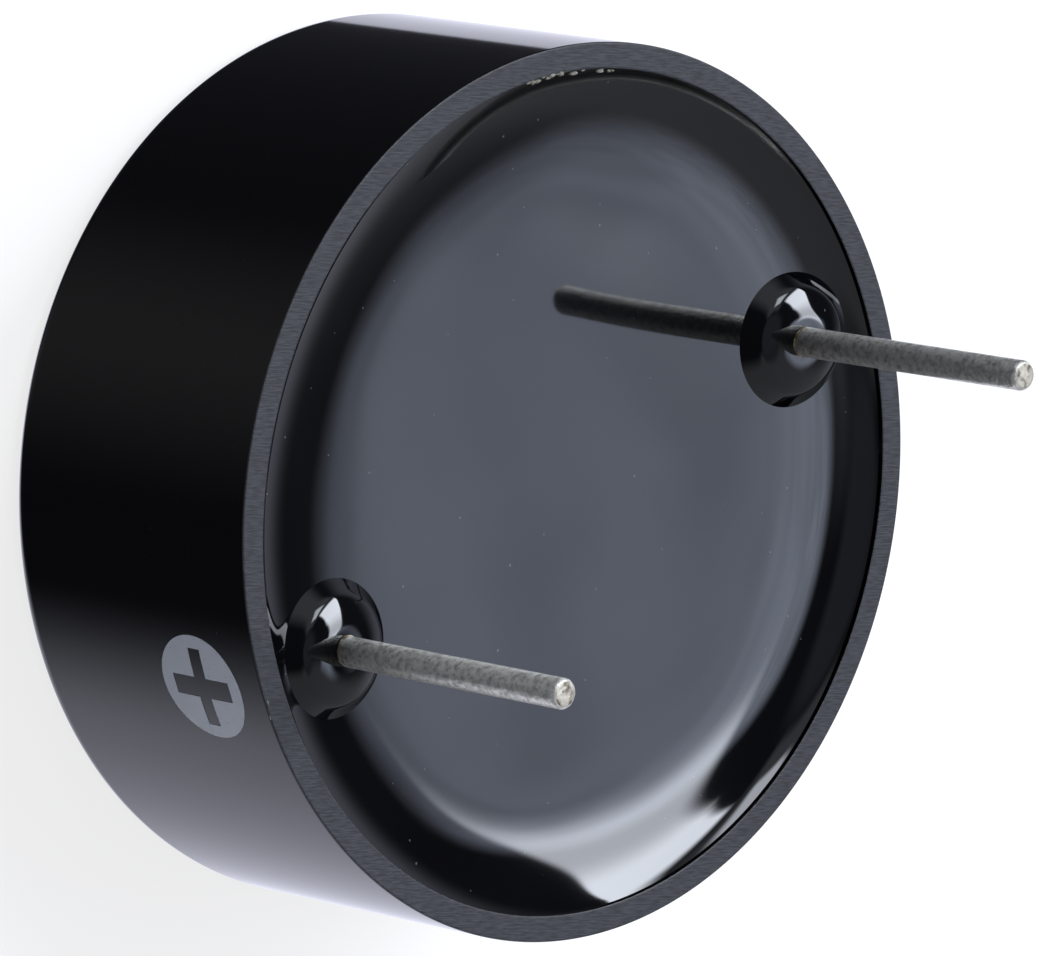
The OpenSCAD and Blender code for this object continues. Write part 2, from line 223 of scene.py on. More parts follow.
@dataclass(frozen=True)
class Finish:
    """A real material and how its surface was made.

    Sizes are in millimetres. A finish breaks up its colour with a second colour, its gloss with
    a change of roughness, and its surface with a fine unevenness. Patch is the size of the
    spots of the second colour, share how much of the surface they take, and blur how soft their
    edges are.
    """

    name: str
    colour: str
    roughness: float
    metallic: float = 0.0
    ior: float = 1.5
    look: Look = Look.BLOTCHES
    second: str = "#000000"
    patch: float = 1.0
    share: float = 0.5
    blur: float = 0.1
    rough_change: float = 0.0
    uneven: float = 0.0
    uneven_size: float = 1.0
    uneven_detail: float = 2.0
    transmission: float = 0.0

    def coordinates(self, tree: bpy.types.NodeTree) -> bpy.types.NodeSocket:
        """Give the place on the object, in metres."""
        return add_node(tree, "ShaderNodeTexCoord").outputs["Object"]

    def mask(self, tree: bpy.types.NodeTree, place: bpy.types.NodeSocket) -> bpy.types.NodeSocket:
        """Give how much of the second colour shows at a place.

        Args:
            tree: the material's node tree.
            place: the object coordinates.

        Returns:
            An output from 0 to 1.
        """
        if self.look is Look.WEAVE:
            rows = [
                add_node(
                    tree, "ShaderNodeTexWave", {"Vector": place, "Scale": 0.5 / (self.patch * MM)},
                    bands_direction=direction,
                ).outputs["Fac"]
                for direction in ("X", "Y")
            ]
            return add_node(
                tree, "ShaderNodeMath", {0: rows[0], 1: rows[1]}, operation="MULTIPLY"
            ).outputs["Value"]
        noise = add_node(
            tree, "ShaderNodeTexNoise",
            {"Vector": place, "Scale": 1 / (self.patch * MM), "Detail": 5.0, "Roughness": 0.55},
        )
        edge = 1 - self.share
        return add_node(
            tree, "ShaderNodeMapRange",
            {
                "Value": noise.outputs["Fac"],
                "From Min": edge - self.blur / 2, "From Max": edge + self.blur / 2,
            },
        ).outputs["Result"]

    def dress(self, tree: bpy.types.NodeTree, shader: bpy.types.Node) -> None:
        """Link the finish's colour, gloss and unevenness to its shader.

        Args:
            tree: the material's node tree.
            shader: its Principled BSDF.
        """
        place = self.coordinates(tree)
        amount = self.mask(tree, place)
        mixed = add_node(
            tree, "ShaderNodeMix",
            {"Factor": amount, MIX_FIRST: srgb(self.colour), MIX_SECOND: srgb(self.second)},
            data_type="RGBA",
        )
        tree.links.new(mixed.outputs[MIXED], shader.inputs["Base Color"])
        if self.rough_change:
            gloss = add_node(
                tree, "ShaderNodeMapRange",
                {
                    "Value": amount, "To Min": self.roughness,
                    "To Max": self.roughness + self.rough_change,
                },
            )
            tree.links.new(gloss.outputs["Result"], shader.inputs["Roughness"])
        if self.uneven:
            waves = add_node(
                tree, "ShaderNodeTexNoise",
                {
                    "Vector": place, "Scale": 1 / (self.uneven_size * MM),
                    "Detail": self.uneven_detail,
                },
            )
            bump = add_node(
                tree, "ShaderNodeBump",
                {"Height": waves.outputs["Fac"], "Distance": self.uneven * MM, "Strength": 1.0},
            )
            tree.links.new(bump.outputs["Normal"], shader.inputs["Normal"])

    def make(self) -> bpy.types.Material:
        """Build the material.

        Returns:
            The material, named as the finish.
        """
        material = bpy.data.materials.new(self.name)
        material.use_nodes = True
        tree = material.node_tree
        shader = tree.nodes["Principled BSDF"]
        shader.inputs["Base Color"].default_value = srgb(self.colour)
        shader.inputs["Roughness"].default_value = self.roughness
        shader.inputs["Metallic"].default_value = self.metallic
        if not self.metallic:
            shader.inputs["IOR"].default_value = self.ior
        if self.transmission:
            shader.inputs["Transmission Weight"].default_value = self.transmission
        self.dress(tree, shader)
        material.diffuse_color = srgb(self.colour)
        return material


@dataclass(frozen=True)
class LappedPlastic(Finish):
    """Moulded plastic rubbed flat on abrasive paper: matt, grey, with parallel scratches.

    The scratches run along one bearing in degrees. Their pitch is drawn a few times coarser than
    the paper's grit, so that they show in the render.
    """

    lap_bearing: float = 152.6
    lap_length: float = 10.0
    lap_pitch: float = 0.045
    lap_depth: float = 0.008

    def dress(self, tree: bpy.types.NodeTree, shader: bpy.types.Node) -> None:
        """Draw the scratches along the way that the rim was rubbed.

        Args:
            tree: the material's node tree.
            shader: its Principled BSDF.
        """
        place = self.coordinates(tree)
        along = add_node(
            tree, "ShaderNodeMapping",
            {
                "Vector": place, "Rotation": (0, 0, math.radians(self.lap_bearing)),
                "Scale": (self.lap_length, 1.0, 1.0),
            },
            vector_type="TEXTURE",
        ).outputs["Vector"]
        lines = add_node(
            tree, "ShaderNodeTexNoise",
            {
                "Vector": along, "Scale": 1 / (self.lap_pitch * MM), "Detail": 3.0,
                "Roughness": 0.6,
            },
        ).outputs["Fac"]
        shade = add_node(
            tree, "ShaderNodeMapRange", {"Value": lines, "From Min": 0.4, "From Max": 0.6}
        ).outputs["Result"]
        mixed = add_node(
            tree, "ShaderNodeMix",
            {"Factor": shade, MIX_FIRST: srgb(self.colour), MIX_SECOND: srgb(self.second)},
            data_type="RGBA",
        )
        tree.links.new(mixed.outputs[MIXED], shader.inputs["Base Color"])
        bump = add_node(
            tree, "ShaderNodeBump", {"Height": lines, "Distance": self.lap_depth * MM}
        )
        tree.links.new(bump.outputs["Normal"], shader.inputs["Normal"])


@dataclass(frozen=True)
class DustyEpoxy(Finish):
    """Cast epoxy with a few grains of pale dust set in its level surface.

    The surface is split in cells as wide as the dust's gap, in millimetres. A cell holds a grain
    where its chance is over the kept level, and the grain is at most that share of a cell wide
    from its middle.
    """

    dust: str = "#4c5057"
    dust_gap: float = 1.2
    grain: float = 0.032
    kept: float = 0.6

    def dress(self, tree: bpy.types.NodeTree, shader: bpy.types.Node) -> None:
        """Scatter the grains over the epoxy's own colour.

        Args:
            tree: the material's node tree.
            shader: its Principled BSDF.
        """
        super().dress(tree, shader)
        base = shader.inputs["Base Color"].links[0].from_socket
        cells = add_node(
            tree, "ShaderNodeTexVoronoi",
            {"Vector": self.coordinates(tree), "Scale": 1 / (self.dust_gap * MM)},
            voronoi_dimensions="2D",
        ).outputs
        chance = add_node(tree, "ShaderNodeSeparateColor", {"Color": cells["Color"]}).outputs[0]
        reach = add_node(
            tree, "ShaderNodeMapRange",
            {"Value": chance, "From Min": self.kept, "To Max": self.grain},
        ).outputs["Result"]
        there = add_node(
            tree, "ShaderNodeMath", {0: cells["Distance"], 1: reach}, operation="LESS_THAN"
        ).outputs["Value"]
        mixed = add_node(
            tree, "ShaderNodeMix",
            {"Factor": there, MIX_FIRST: base, MIX_SECOND: srgb(self.dust)}, data_type="RGBA",
        )
        tree.links.new(mixed.outputs[MIXED], shader.inputs["Base Color"])


# Black polybutylene terephthalate, injection moulded: a deep glossy black with small duller specks
CASE_BLACK = Finish(
    "moulded_black_plastic", "#050507", 0.07, second="#3a3a40", patch=0.12, share=0.27,
    blur=0.04, rough_change=0.2, uneven=0.0004, uneven_size=0.5,
)
# The same plastic, lapped: matt dark grey with parallel scratches
LAPPED_RIM = LappedPlastic("lapped_black_plastic", "#1c1e22", 0.5, second="#3c3e44")
# Black potting epoxy, cast and cured: mirror gloss with slow waves, over a clouded black body
EPOXY = DustyEpoxy(
    "black_potting_epoxy", "#040405", 0.04, ior=1.55, second="#090a0d", patch=4.5, blur=0.5,
    uneven=0.028, uneven_size=5.0, uneven_detail=0.0,
)
# Steel wire, tinned by dipping and dulled by air: pale metal, pitted and mottled with grey oxide
TINNED_WIRE = Finish(
    "tinned_wire", "#fffdf4", 0.3, metallic=0.42, second="#a8a79b", patch=0.16, share=0.42,
    blur=0.3, rough_change=0.15, uneven=0.024, uneven_size=0.1,
)
# The wire's cut end: bare steel, torn by the cutter and smeared brown
CUT_END = Finish(
    "cut_wire_end", "#cfc8b8", 0.4, metallic=0.5, second="#5d503f", patch=0.25, share=0.42,
    blur=0.2, rough_change=0.15, uneven=0.02, uneven_size=0.15,
)
# Rosin flux left by the dip: brown glassy resin; its pale cream spots are painted highlight,
# standing in for the glints at the pin's foot
FLUX_AND_PAINTED_GLINTS = Finish(
    "flux_resin_and_painted_glints", "#54442f", 0.15, ior=1.53, second="#d9cfae", patch=0.2, share=0.45, blur=0.3,
    uneven=0.01, uneven_size=0.2,
)
# Pale moulding flash and resin crumbs
FLECK = Finish(
    "pale_resin", "#aaa797", 0.5, second="#6f6c60", patch=0.08, blur=0.3,
)
# Pad-printed ink: a thin, pale, half matt film with dark pinholes
INK = Finish(
    "printed_ink", "#f0f5fc", 0.45, second="#55555c", patch=0.07, share=0.3, blur=0.08,
)
# Rolled brass sheet: yellow metal, slightly tarnished
BRASS = Finish(
    "rolled_brass", "#c9a55a", 0.3, metallic=1.0, second="#a98443", patch=1.2, blur=0.3,
    rough_change=0.1, uneven=0.002, uneven_size=0.2,
)
# Fired lead zirconate titanate: matt cream ceramic
CERAMIC = Finish(
    "fired_piezo_ceramic", "#d6cfbd", 0.6, second="#c3b9a2", patch=0.4, blur=0.4, uneven=0.002,
    uneven_size=0.08,
)
# Screen-printed silver fired on the ceramic: a pale matt metal film
SILVER = Finish(
    "fired_silver", "#c7c8c8", 0.45, metallic=1.0, second="#aeb0b1", patch=0.3, blur=0.4,
    uneven=0.002, uneven_size=0.07,
)
# Silicone sealant: soft white rubber with a low sheen
SILICONE = Finish(
    "silicone_bead", "#e4e4de", 0.4, ior=1.41, second="#d3d3cb", patch=0.8, blur=0.4,
    uneven=0.01, uneven_size=0.5,
)
# Glass-epoxy laminate: green resin over a woven glass cloth
LAMINATE = Finish(
    "glass_epoxy_laminate", "#1f5a33", 0.35, ior=1.52, look=Look.WEAVE, second="#3c7a4e",
    patch=0.45,
)
# Etched copper foil: orange metal, browned in patches
COPPER = Finish(
    "copper_foil", "#b8734a", 0.35, metallic=1.0, second="#97552f", patch=0.7, blur=0.3,
    rough_change=0.1,
)
# Transfer-moulded epoxy compound: matt near-black with grey filler grains
MOULDING_COMPOUND = Finish(
    "moulding_compound", "#26262a", 0.55, second="#3a3a3e", patch=0.08, share=0.4, blur=0.1,
    uneven=0.002, uneven_size=0.06,
)
# Sintered layered ceramic: even tan with brown grain
CHIP_CERAMIC = Finish(
    "chip_ceramic", "#a5814f", 0.5, second="#8d6b40", patch=0.15, blur=0.3,
)
# Electroplated matt tin: pale silky grey
TIN_PLATE = Finish(
    "tin_plate", "#bfc1c2", 0.4, metallic=1.0, second="#9fa2a4", patch=0.15, blur=0.4,
)
# Drawn glass tube over the diode: clear orange
ORANGE_GLASS = Finish(
    "orange_glass", "#d0602c", 0.05, second="#b34a1e", patch=0.8, blur=0.4, transmission=0.6,
)
# Sintered ferrite: dark grey, matt and finely grained
FERRITE = Finish(
    "sintered_ferrite", "#3b3b40", 0.5, second="#55555b", patch=0.07, share=0.4, blur=0.1,
    uneven=0.003, uneven_size=0.06,
)
# Copper wire in clear enamel: glossy orange metal
MAGNET_WIRE = Finish(
    "enamelled_copper_wire", "#b4622c", 0.25, metallic=1.0, second="#8f4519", patch=0.3,
    blur=0.3,
)
# Tin-silver solder, frozen from the melt: bright grey metal, a little grainy
SOLDER = Finish(
    "solder", "#b2b5b8", 0.28, metallic=1.0, second="#8d9194", patch=0.2, blur=0.4,
    rough_change=0.15, uneven=0.003, uneven_size=0.15,
)
# Extruded vinyl sleeves: even colour with a soft sheen
RED_SLEEVE = Finish("red_insulation", "#a8231c", 0.4, second="#8c1a15", patch=0.3, blur=0.4)
BLACK_SLEEVE = Finish("black_insulation", "#1b1b1d", 0.4, second="#2b2b2e", patch=0.3, blur=0.4)
BLUE_SLEEVE = Finish("blue_insulation", "#23479a", 0.4, second="#1a3880", patch=0.3, blur=0.4)


# The outside pieces


@dataclass
class Case:
    """Moulded cup with its stepped bore, sound hole and lapped rim. Sizes in millimetres.

    The edges of the rim are broken in two facets, between lines that keep the flats beside them
    level in the shading. The lapped band is how far below the rim a face's middle may lie to
    have the lapped finish.
    """

    radius: float = 11.75
    height: float = 9.0
    rim_wall: float = 0.7
    board_z: float = 6.4
    bore_radius: float = 10.25
    seat_z: float = 2.6
    cavity_radius: float = 8.8
    face: float = 0.9
    hole_radius: float = 1.5
    hole_chamfer: float = 0.25
    foot_round: float = 0.5
    edge_break: float = 0.04
    lapped_band: float = 0.016
    round_steps: int = 8
    steps: int = 480

    def outline(self) -> list[Point]:
        """List the cup's section, from the chamfer of the sound hole round and back to it.

        Returns:
            Points of radius and height, the first and last the same.
        """
        rim = self.radius - self.rim_wall
        cut = self.edge_break
        corner = (self.radius - self.foot_round, self.foot_round)
        return [
            (self.hole_radius + self.hole_chamfer, 0),
            *arc(corner, self.foot_round, -90, 0, self.round_steps),
            (self.radius, self.foot_round + cut / 2), (self.radius, self.height - 1.5 * cut),
            (self.radius, self.height - cut), (self.radius - cut / 3, self.height - cut / 3),
            (self.radius - cut, self.height), (self.radius - 1.5 * cut, self.height),
            (rim + 1.5 * cut, self.height), (rim + cut, self.height),
            (rim + cut / 3, self.height - cut / 3), (rim, self.height - cut),
            (rim, self.height - 1.5 * cut),
            (rim, self.board_z), (self.bore_radius, self.board_z),
            (self.bore_radius, self.seat_z), (self.cavity_radius, self.seat_z),
            (self.cavity_radius, self.face), (self.hole_radius, self.face),
            (self.hole_radius, self.hole_chamfer), (self.hole_radius + self.hole_chamfer, 0),
        ]

    def build(self) -> bpy.types.Object:
        """Turn the cup, and give its rim the lapped finish.

        Returns:
            The case.
        """
        piece = spun("case_shell", self.outline(), self.steps)
        smooth(piece, angle=35)
        for finish in (CASE_BLACK, LAPPED_RIM):
            piece.data.materials.append(finish.make())
        for face in piece.data.polygons:
            face.material_index = int(face.center.z > (self.height - self.lapped_band) * MM)
        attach(piece, BODY)
        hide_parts("case")
        return piece


@dataclass
class Potting:
    """Epoxy fill: level middle, creep up the wall and a mound round each pin. In millimetres.

    A mound's slopes are pairs of the distance from its pin and the slope there. It starts at the
    root's height over the fill's underside, and all of it over twice that is lifted by the creep.
    """

    radius: float = 11.05
    flat_z: float = 8.29
    low_z: float = 7.2
    creep_length: float = 0.8
    creep_height: float = 0.5
    dish: float = 0.001
    pin_place: float = 8.75
    mound_slopes: tuple[Point, ...] = ((0.55, 0.0), (1.35, 0.45), (1.5, 1.0), (1.98, 1.0))
    mound_height: float = 0.6
    mound_root: float = 0.1
    fine_from: float = 6.0
    coarse_rings: int = 10
    ring: float = 0.07
    mound_rings: int = 36
    steps: int = 480
    mound_steps: int = 144

    def creep(self, r: float) -> float:
        """Give the height over the middle at a radius: a shallow dish, steepest at the wall."""
        return (
            self.creep_height * math.exp((r - self.radius) / self.creep_length)
            + self.dish * r * r / 2
        )

    def mound(self, d: float) -> float:
        """Give the height of a mound over the fill at a distance from its pin.

        It falls from the level top, over the round shoulder, to below the fill's surface, which
        cuts it off in a crisp foot.

        Args:
            d: the distance from the pin's axis.

        Returns:
            The height over the fill, under zero outside the foot.
        """
        fall = 0.0
        for (near, gentle), (far, steep) in zip(self.mound_slopes, self.mound_slopes[1:]):
            end = min(max(d, near), far)
            there = gentle + (steep - gentle) * (end - near) / (far - near)
            fall += (gentle + there) / 2 * (end - near)
        return self.mound_height - fall

    def turn_plug(self) -> bpy.types.Object:
        """Turn the fill without its mounds, with close rings where its surface bends.

        Returns:
            The fill.
        """
        bend = self.radius - self.fine_from
        count = round(bend / self.ring)
        inner = [self.fine_from * i / self.coarse_rings for i in range(self.coarse_rings)]
        outer = [self.fine_from + bend * i / count for i in range(count + 1)]
        top = [(r, self.flat_z + self.creep(r)) for r in [*inner, *outer]]
        return spun("epoxy_fill", [*top, (self.radius, self.low_z), (0.0, self.low_z)], self.steps)

    def turn_mound(self, side: int) -> bpy.types.Object:
        """Turn one mound, and lift its top by the creep under it.

        Args:
            side: 1 for the positive pin's and -1 for the negative pin's.

        Returns:
            The mound, which reaches down into the fill.
        """
        reach = self.mound_slopes[-1][0]
        away = [reach * i / self.mound_rings for i in range(self.mound_rings + 1)]
        top = [(d, self.flat_z + self.mound(d)) for d in away]
        root = self.low_z + self.mound_root
        lump = spun(
            f"epoxy_mound_{side}", [*top, (reach, root), (0.0, root)], self.mound_steps,
            (side * self.pin_place, 0),
        )
        for point in lump.data.vertices:
            if point.co.z > (self.low_z + 2 * self.mound_root) * MM:
                point.co.z += self.creep(math.hypot(point.co.x, point.co.y) / MM) * MM
        return lump

    def build(self) -> bpy.types.Object:
        """Turn the fill and unite the two mounds with it.

        Returns:
            The fill with its mounds.
        """
        piece = self.turn_plug()
        for side in (1, -1):
            lump = self.turn_mound(side)
            take_hold(piece)
            union = piece.modifiers.new("union", "BOOLEAN")
            union.operation = "UNION"
            union.solver = "EXACT"
            union.object = lump
            bpy.ops.object.modifier_apply(modifier="union")
            take_hold(lump)
            bpy.ops.object.delete()
        close_up(piece, FINE_MERGE)
        smooth(piece, angle=30)
        piece.data.materials.append(EPOXY.make())
        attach(piece, BODY)
        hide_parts("potting")
        return piece


@dataclass
class Pin:
    """One tinned lead pin with the flux collar at its foot. Sizes in millimetres.

    Below the rim the wire is bare, thinner by the tin. The collar reaches into it by the tuck.
    """

    name: str
    node: str
    x: float
    radius: float = 0.4
    tin: float = 0.05
    low_z: float = 5.8
    rim_z: float = 9.0
    top_z: float = 17.0
    tip_round: float = 0.12
    tip_steps: int = 8
    cut_band: float = 0.012
    shoulder: float = 0.12
    shoulder_steps: int = 5
    shank_rows: int = 12
    steps: int = 96
    collar_z: float = 8.9
    collar_height: float = 0.16
    collar_radius: float = 0.5
    collar_tuck: float = 0.02
    collar_rows: int = 8
    collar_steps: int = 72

    def outline(self) -> list[Point]:
        """List the wire's section, from the middle of its low end to the middle of its tip.

        Returns:
            Points of radius and height.
        """
        bare = self.radius - self.tin
        tip_centre = (self.radius - self.tip_round, self.top_z - self.tip_round)
        tip = arc(tip_centre, self.tip_round, 0, 90, self.tip_steps)
        foot_centre = (self.radius - self.shoulder, self.rim_z + self.shoulder / 2)
        foot = arc(foot_centre, self.shoulder, -45, 0, self.shoulder_steps)
        start = foot[-1][1]
        length = self.top_z - self.tip_round - start
        shank = [
            (self.radius, start + length * i / self.shank_rows) for i in range(1, self.shank_rows)
        ]
        low = [(0, self.low_z), (bare, self.low_z), (bare, foot[0][1])]
        return [*low, *foot, *shank, *tip, (0, self.top_z)]

    def turn_collar(self) -> bpy.types.Object:
        """Turn the flux collar, hollow outside and widest on the epoxy.

        Returns:
            The collar.
        """
        bare = self.radius - self.tin
        inside, top_z = bare - self.collar_tuck, self.collar_z + self.collar_height
        hollow = [
            (
                bare + (self.collar_radius - bare) * (1 - t) ** 2,
                self.collar_z + self.collar_height * t,
            )
            for t in [i / self.collar_rows for i in range(self.collar_rows + 1)]
        ]
        collar = spun(
            self.name + "_flux",
            [(inside, self.collar_z), *hollow, (inside, top_z), (inside, self.collar_z)],
            self.collar_steps, (self.x, 0),
        )
        smooth(collar, angle=40)
        # the collar's pale cream spots are painted highlight
        collar.data.materials.append(FLUX_AND_PAINTED_GLINTS.make())
        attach(collar, BODY)
        return collar

    def build(self) -> list[bpy.types.Object]:
        """Turn the wire, with its cut end bare, and its collar.

        Returns:
            The wire and the collar.
        """
        wire = spun(self.name, self.outline(), self.steps, (self.x, 0))
        smooth(wire, angle=40)
        for finish in (TINNED_WIRE, CUT_END):
            wire.data.materials.append(finish.make())
        for face in wire.data.polygons:
            face.material_index = int(face.center.z > (self.top_z - self.cut_band) * MM)
        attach(wire, BODY)
        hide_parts(self.node)
        return [wire, self.turn_collar()]


@dataclass
class PolarityMark:
    """Printed disc with a bare plus, on the wall beside the positive pin. In millimetres.

    The bearing is in degrees. The disc is cut in as many strips as it has bends, so that it
    follows the round of the wall.
    """

    bearing: float = -1.0
    z: float = 6.65
    radius: float = 1.475
    arm: float = 2.1
    stroke: float = 0.44
    wall: float = 11.75
    proud: float = 0.012
    bends: int = 14
    steps: int = 96

    def build(self) -> bpy.types.Object:
        """Cut a plus out of a disc and lay the disc on the wall.

        Returns:
            The printed film.
        """
        deselect_all()
        bpy.ops.mesh.primitive_circle_add(
            vertices=self.steps, radius=self.radius * MM, fill_type="NGON",
            location=(self.wall * MM, 0, self.z * MM), rotation=(0, math.pi / 2, 0),
        )
        piece = named("polarity_mark")
        settle(piece)
        half, end = self.stroke / 2, self.arm / 2
        folds = [self.radius * (2 * i / self.bends - 1) for i in range(1, self.bends)]
        cuts = [((0, y, 0), (0, 1, 0)) for y in [-half, half, -end, end, *folds]]
        cuts += [((0, 0, self.z + z), (0, 0, 1)) for z in (-half, half, -end, end)]
        bpy.ops.object.mode_set(mode="EDIT")
        bpy.ops.mesh.select_mode(type="FACE")
        for place, normal in cuts:
            bpy.ops.mesh.select_all(action="SELECT")
            bpy.ops.mesh.bisect(plane_co=[v * MM for v in place], plane_no=normal)
        bpy.ops.mesh.select_all(action="DESELECT")
        shape = bmesh.from_edit_mesh(piece.data)
        for face in shape.faces:
            middle = face.calc_center_median()
            y, z = abs(middle.y) / MM, abs(middle.z - self.z * MM) / MM
            face.select_set(min(y, z) < half and max(y, z) < end)
        bmesh.update_edit_mesh(piece.data)
        bpy.ops.mesh.delete(type="FACE")
        bpy.ops.object.mode_set(mode="OBJECT")
        wrap = piece.modifiers.new("wrap", "CAST")
        wrap.cast_type = "CYLINDER"
        wrap.factor = 1.0
        wrap.use_radius_as_size = False
        wrap.size = self.wall * MM
        film = piece.modifiers.new("film", "SOLIDIFY")
        film.thickness = 2 * self.proud * MM
        film.offset = 0.0
        for step in ("wrap", "film"):
            bpy.ops.object.modifier_apply(modifier=step)
        piece.rotation_euler.z = math.radians(self.bearing)
        settle(piece)
        close_up(piece, FINE_MERGE)
        smooth(piece, angle=40)
        piece.data.materials.append(INK.make())
        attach(piece, BODY)
        return piece


@dataclass
class Flecks:
    """Pale crumbs at an edge of the rim. Sizes in millimetres.

    Bearing and spread are in degrees. Stray is how far a crumb may lie in or out of its ring,
    stretch how much its depth, width and height may be changed, and rough how far its points
    may move, as a share of its size.
    """

    name: str = "resin_flecks"
    bearing: float = 252.0
    spread: float = 9.0
    count: int = 16
    ring: float = 11.04
    z: float = 8.97
    size: Span = (0.03, 0.08)
    stray: Span = (-0.05, 0.03)
    stretch: tuple[Span, Span, Span] = ((0.6, 1.0), (1.0, 3.0), (0.5, 1.0))
    rough: float = 0.25

    def build(self) -> bpy.types.Object:
        """Scatter small flattened lumps along the edge and join them.

        Returns:
            All the lumps as one piece.
        """
        draw = random.Random(SEED)
        lumps = []
        for number in range(self.count):
            deselect_all()
            at = math.radians(self.bearing + draw.uniform(-self.spread, self.spread))
            size = draw.uniform(*self.size)
            r = self.ring + draw.uniform(*self.stray)
            bpy.ops.mesh.primitive_ico_sphere_add(
                subdivisions=2, radius=size * MM,
                location=(r * math.cos(at) * MM, r * math.sin(at) * MM, self.z * MM),
                rotation=(0, 0, at),
            )
            lump = named(f"{self.name}_{number}")
            lump.scale = [draw.uniform(*ends) for ends in self.stretch]
            settle(lump)
            bpy.ops.object.mode_set(mode="EDIT")
            bpy.ops.mesh.select_all(action="SELECT")
            bpy.ops.transform.vertex_random(offset=size * self.rough * MM, seed=number + 1)
            bpy.ops.object.mode_set(mode="OBJECT")
            lumps.append(lump)
        deselect_all()
        for lump in lumps:
            lump.select_set(True)
        bpy.context.view_layer.objects.active = lumps[0]
        bpy.ops.object.join()
        piece = named(self.name)
        settle(piece)
        smooth(piece, angle=60)
        piece.data.materials.append(FLECK.make())
        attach(piece, BODY)
        return piece


@dataclass
class Circuit:
    """The sealed pieces, kept as the CAD has them, each with its finish."""

    finishes: dict[str, Finish] = field(default_factory=lambda: {
        "diaphragm": BRASS, "piezo_ceramic": CERAMIC, "main_electrode": SILVER,
        "feedback_electrode": SILVER, "diaphragm_seal": SILICONE, "circuit_board": LAMINATE,
        "board_copper": COPPER, "transistor_body": MOULDING_COMPOUND,
        "transistor_leads": TIN_PLATE, "resistor_bodies": MOULDING_COMPOUND,
        "resistor_end_caps": TIN_PLATE, "capacitor_body": CHIP_CERAMIC,
        "capacitor_end_caps": TIN_PLATE, "diode_glass": ORANGE_GLASS, "diode_caps": TIN_PLATE,
        "inductor_core": FERRITE, "inductor_coil": MAGNET_WIRE, "inductor_terminals": TIN_PLATE,
        "lead_red": RED_SLEEVE, "lead_black": BLACK_SLEEVE, "lead_blue": BLUE_SLEEVE,
        "lead_cores": MAGNET_WIRE, "disc_solder": SOLDER, "board_solder": SOLDER,
        "pin_solder": SOLDER,
    })

    def dress(self) -> int:
        """Give each sealed piece its material, one per finish.

        Returns:
            How many pieces there are.
        """
        made: dict[str, bpy.types.Material] = {}
        for node, finish in self.finishes.items():
            if finish.name not in made:
                made[finish.name] = finish.make()
            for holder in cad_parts[node].material_slots:
                holder.material = made[finish.name]
        return len(self.finishes)


# The studio


